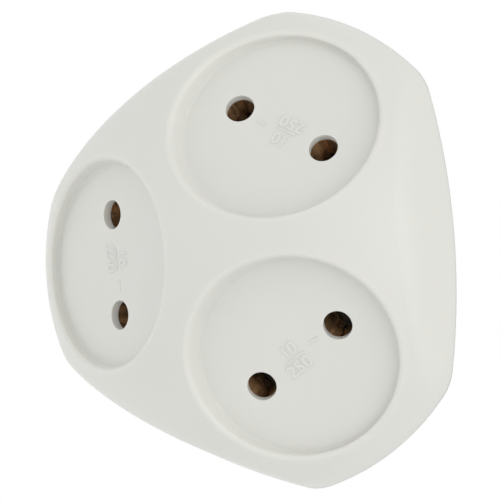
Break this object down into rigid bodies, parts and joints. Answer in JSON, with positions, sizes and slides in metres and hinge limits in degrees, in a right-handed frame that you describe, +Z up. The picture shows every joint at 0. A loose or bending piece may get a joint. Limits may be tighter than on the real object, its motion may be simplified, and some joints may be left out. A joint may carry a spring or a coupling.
{
  "type": "multi socket adapter",
  "caption": "Plug-in adapter: a moulded three-lobed dome with sunk round two-pin sockets facing outwards, and a round two-pin plug behind.",
  "frame": {"origin": "centre of the plug's wall face, midway between the plug pins where they leave it", "axes": "+Y along the plug pins into the wall, -Y out through the middle of the dome, X along the line through the plug pins, +Z up to the single socket over the pair"},
  "size_m": [0.0898, 0.0685, 0.0846],
  "materials": {
    "shell_white": "moulded, satin to gloss",
    "pin_brass": "turned",
    "contact_brass": "stamped, dull",
    "screw_steel": "zinc plated",
    "insulator_grey": "moulded"
  },
  "bodies": {
    "root": {"rear_base": "shell_white", "plug_pin_left": "pin_brass", "plug_pin_right": "pin_brass", "bus_bar_lower": "contact_brass", "bus_spacer": "insulator_grey", "bus_bar_upper": "contact_brass", "retaining_cap": "insulator_grey", "contact_clip_top_left": "contact_brass", "contact_clip_top_right": "contact_brass", "contact_clip_lower_left_left": "contact_brass", "contact_clip_lower_left_right": "contact_brass", "contact_clip_lower_right_left": "contact_brass", "contact_clip_lower_right_right": "contact_brass", "clip_rivets": "contact_brass", "front_cover": "shell_white", "cover_screws": "screw_steel"}
  },
  "joints": []
}
